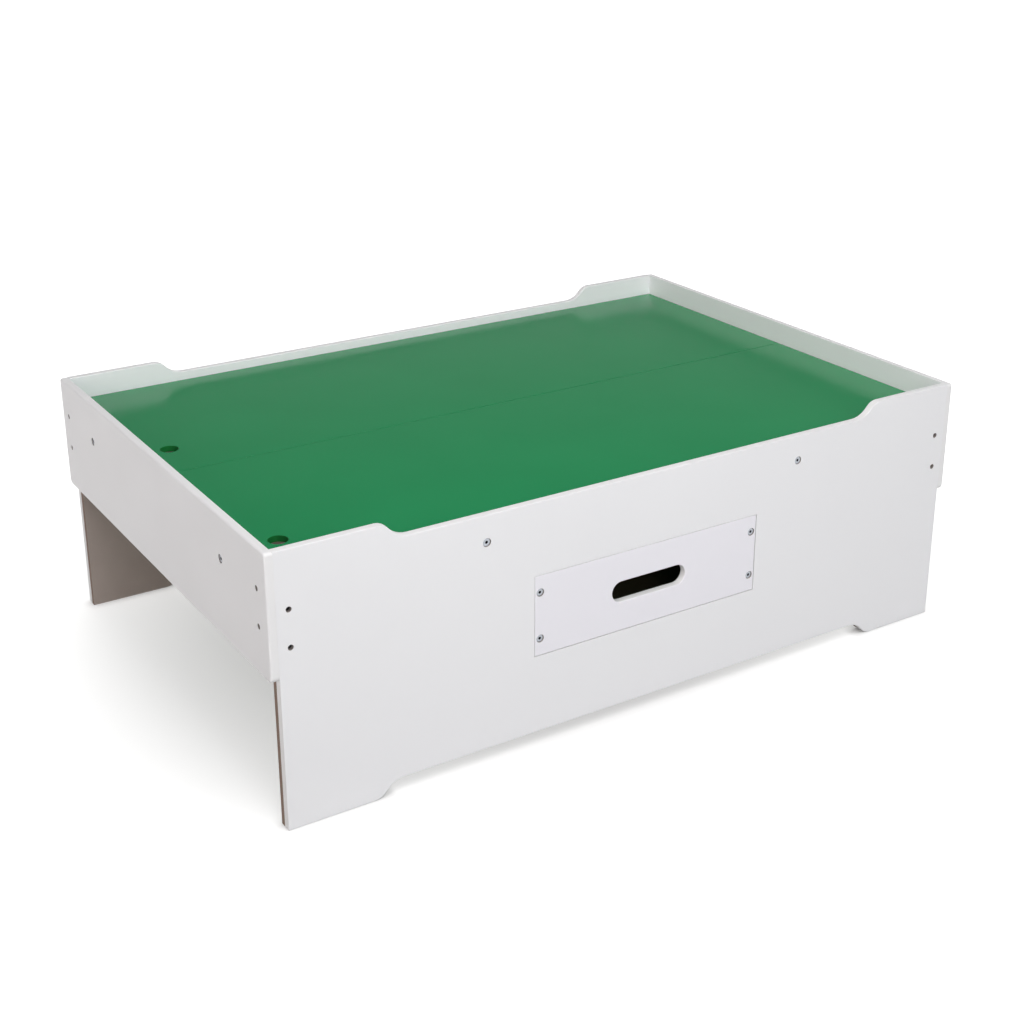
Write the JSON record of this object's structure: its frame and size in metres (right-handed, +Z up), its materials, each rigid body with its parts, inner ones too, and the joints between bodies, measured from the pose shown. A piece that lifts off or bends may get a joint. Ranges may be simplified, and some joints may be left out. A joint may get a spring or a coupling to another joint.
{
  "type": "train table",
  "caption": "Low rectangular play table with a raised dipped rim round lift-out green play boards, arched long panels as legs, and an inset drawer with a hand slot.",
  "frame": {"origin": "on the floor under the middle of the table", "axes": "+X to the right along the length, +Y from the drawer side to the back, +Z up"},
  "size_m": [1.3, 0.87, 0.44],
  "materials": {
    "white_paint": "white satin paint on fibreboard",
    "raw_board": "raw brown fibreboard",
    "hardboard": "raw hardboard, smooth side up",
    "lumber": "planed softwood, unfinished",
    "hardwood": "planed beech, unfinished",
    "green_paint": "green satin paint on fibreboard",
    "steel": "bright zinc plate",
    "dark_steel": "dark oxide"
  },
  "bodies": {
    "frame": {"front_panel": "white_paint", "back_panel": "white_paint", "left_end_panel": "white_paint", "right_end_panel": "white_paint", "front_lining": "raw_board", "back_lining": "raw_board", "front_left_corner_post": "lumber", "front_right_corner_post": "lumber", "back_left_corner_post": "lumber", "back_right_corner_post": "lumber", "left_cross_beam": "lumber", "right_cross_beam": "lumber", "left_end_ledger": "lumber", "right_end_ledger": "lumber", "left_drawer_runner": "hardwood", "right_drawer_runner": "hardwood", "beam_dowels": "hardwood", "runner_dowels": "hardwood", "front_beam_bolts": "steel", "back_beam_bolts": "steel", "left_ledger_bolts": "steel", "right_ledger_bolts": "steel", "beam_barrel_nuts": "steel", "ledger_barrel_nuts": "steel", "front_corner_screws": "dark_steel", "back_corner_screws": "dark_steel", "left_corner_screws": "dark_steel", "right_corner_screws": "dark_steel"},
    "drawer": {"drawer_front": "white_paint", "left_drawer_side": "raw_board", "right_drawer_side": "raw_board", "drawer_back": "raw_board", "drawer_bottom": "hardboard", "drawer_stops": "hardwood", "drawer_front_screws": "steel", "drawer_back_screws": "dark_steel", "drawer_stop_screws": "dark_steel"},
    "front_board": {"front_play_board": "green_paint"},
    "back_board": {"back_play_board": "green_paint"}
  },
  "joints": [
    {"name": "drawer_slide", "type": "slide", "parent": "frame", "child": "drawer", "axis": [0, -1, 0], "range_m": [0, 0.35]},
    {"name": "front_board_lift", "type": "slide", "parent": "frame", "child": "front_board", "axis": [0, 0, 1], "range_m": [0, 0.1]},
    {"name": "back_board_lift", "type": "slide", "parent": "frame", "child": "back_board", "axis": [0, 0, 1], "range_m": [0, 0.1]}
  ]
}
